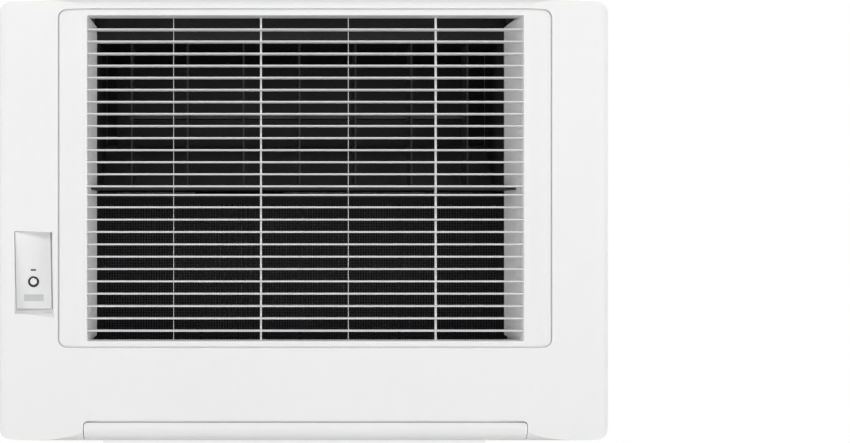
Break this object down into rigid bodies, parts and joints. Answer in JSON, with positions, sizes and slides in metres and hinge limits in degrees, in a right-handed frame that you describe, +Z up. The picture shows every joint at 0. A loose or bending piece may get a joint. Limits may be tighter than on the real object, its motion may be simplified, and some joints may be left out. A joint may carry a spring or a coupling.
{
  "type": "window air conditioner",
  "caption": "Window air conditioner: moulded front panel with louvred grille and slide-out filter, sheet cabinet, coils, swing vanes, twin fan on one shaft and compressor.",
  "frame": {"origin": "centre of the unit on the plane under the cabinet floor", "axes": "+Z up, front panel faces -Y, +X to the right seen from the front"},
  "size_m": [0.577, 0.64, 0.4114],
  "materials": {
    "panel_plastic": "off-white moulded plastic, satin",
    "grille_plastic": "off-white moulded plastic, satin",
    "filter_plastic": "dark moulded plastic, matt",
    "filter_net": "fine dark plastic net",
    "plate_plastic": "off-white moulded plastic, satin",
    "button_plastic": "pale moulded plastic",
    "dark_lens": "dark tinted lens",
    "pale_lens": "pale grey receiver window",
    "circuit_board": "green circuit board",
    "black_plastic": "black moulded plastic, matt",
    "bare_steel": "plain steel",
    "zinc_steel": "zinc-coated sheet",
    "fin_aluminium": "mill-finish fins",
    "copper": "drawn copper tube",
    "black_paint": "black paint",
    "rubber": "black rubber",
    "cabinet_paint": "off-white powder coat"
  },
  "bodies": {
    "chassis": {"accumulator": "black_paint", "air_duct": "black_plastic", "base_pan": "zinc_steel", "bulkhead": "zinc_steel", "button_ring": "black_plastic", "cabinet": "cabinet_paint", "cabinet_screws": "bare_steel", "compressor": "black_paint", "compressor_grommets": "rubber", "compressor_studs": "bare_steel", "condenser_bends": "copper", "condenser_fins": "fin_aluminium", "condenser_plates": "zinc_steel", "control_board": "circuit_board", "control_box": "zinc_steel", "control_cover": "zinc_steel", "cord_gland": "black_plastic", "discharge_pipe": "copper", "display_board": "circuit_board", "drain_nozzle": "black_plastic", "drip_tray": "black_plastic", "evaporator_bends": "copper", "evaporator_fins": "fin_aluminium", "evaporator_plates": "zinc_steel", "fan_motor": "bare_steel", "fan_shroud": "black_plastic", "front_grille": "grille_plastic", "front_panel": "panel_plastic", "grille_side_guides": "grille_plastic", "indicator_lens": "dark_lens", "inlet_plate": "zinc_steel", "liquid_pipe": "copper", "motor_bracket": "zinc_steel", "receiver_plate": "plate_plastic", "receiver_window": "pale_lens", "run_capacitor": "fin_aluminium", "scroll_casing": "black_plastic", "suction_pipe": "copper", "swing_motor": "bare_steel"},
    "filter": {"air_filter_frame": "filter_plastic", "air_filter_mesh": "filter_net", "filter_handle": "panel_plastic"},
    "fan": {"blower_wheel": "black_plastic", "fan_shaft": "bare_steel", "propeller_fan": "black_plastic"},
    "button": {"power_button": "button_plastic"},
    "link": {"vane_link": "black_plastic"},
    "vane_1": {"air_vane_1": "black_plastic"},
    "vane_2": {"air_vane_2": "black_plastic"},
    "vane_3": {"air_vane_3": "black_plastic"},
    "vane_4": {"air_vane_4": "black_plastic"},
    "vane_5": {"air_vane_5": "black_plastic"},
    "vane_6": {"air_vane_6": "black_plastic"},
    "vane_7": {"air_vane_7": "black_plastic"}
  },
  "joints": [
    {"name": "filter_slide", "type": "slide", "parent": "chassis", "child": "filter", "axis": [0, 0, -1], "range_m": [0, 0.21]},
    {"name": "vane_swing", "type": "hinge", "parent": "chassis", "child": "vane_4", "pos_m": [0, -0.242, 0.31], "axis": [0, 0, 1], "range_deg": [-30, 30]},
    {"name": "vane_1_pivot", "type": "hinge", "parent": "chassis", "child": "vane_1", "pos_m": [-0.168, -0.242, 0.31], "axis": [0, 0, 1], "range_deg": [-30.5, 30.5]},
    {"name": "vane_2_pivot", "type": "hinge", "parent": "chassis", "child": "vane_2", "pos_m": [-0.112, -0.242, 0.31], "axis": [0, 0, 1], "range_deg": [-30.5, 30.5]},
    {"name": "vane_3_pivot", "type": "hinge", "parent": "chassis", "child": "vane_3", "pos_m": [-0.056, -0.242, 0.31], "axis": [0, 0, 1], "range_deg": [-30.5, 30.5]},
    {"name": "vane_5_pivot", "type": "hinge", "parent": "chassis", "child": "vane_5", "pos_m": [0.056, -0.242, 0.31], "axis": [0, 0, 1], "range_deg": [-30.5, 30.5]},
    {"name": "vane_6_pivot", "type": "hinge", "parent": "chassis", "child": "vane_6", "pos_m": [0.112, -0.242, 0.31], "axis": [0, 0, 1], "range_deg": [-30.5, 30.5]},
    {"name": "vane_7_pivot", "type": "hinge", "parent": "chassis", "child": "vane_7", "pos_m": [0.168, -0.242, 0.31], "axis": [0, 0, 1], "range_deg": [-30.5, 30.5]},
    {"name": "link_slide", "type": "slide", "parent": "chassis", "child": "link", "axis": [1, 0, 0], "range_m": [-0.007, 0.007]},
    {"name": "fan_spin", "type": "hinge", "parent": "chassis", "child": "fan", "pos_m": [-0.06, 0, 0.175], "axis": [0, 1, 0], "continuous": true},
    {"name": "button_press", "type": "slide", "parent": "chassis", "child": "button", "axis": [0, 0.9966, 0.0819], "range_m": [0, 0.0015], "stiffness_N_per_m": 500}
  ],
  "couplings": [
    {"joint": "vane_1_pivot", "follows": "vane_swing", "ratio": 1},
    {"joint": "vane_2_pivot", "follows": "vane_swing", "ratio": 1},
    {"joint": "vane_3_pivot", "follows": "vane_swing", "ratio": 1},
    {"joint": "vane_5_pivot", "follows": "vane_swing", "ratio": 1},
    {"joint": "vane_6_pivot", "follows": "vane_swing", "ratio": 1},
    {"joint": "vane_7_pivot", "follows": "vane_swing", "ratio": 1},
    {"joint": "link_slide", "follows": "vane_swing", "m_per_rad": -0.013}
  ]
}
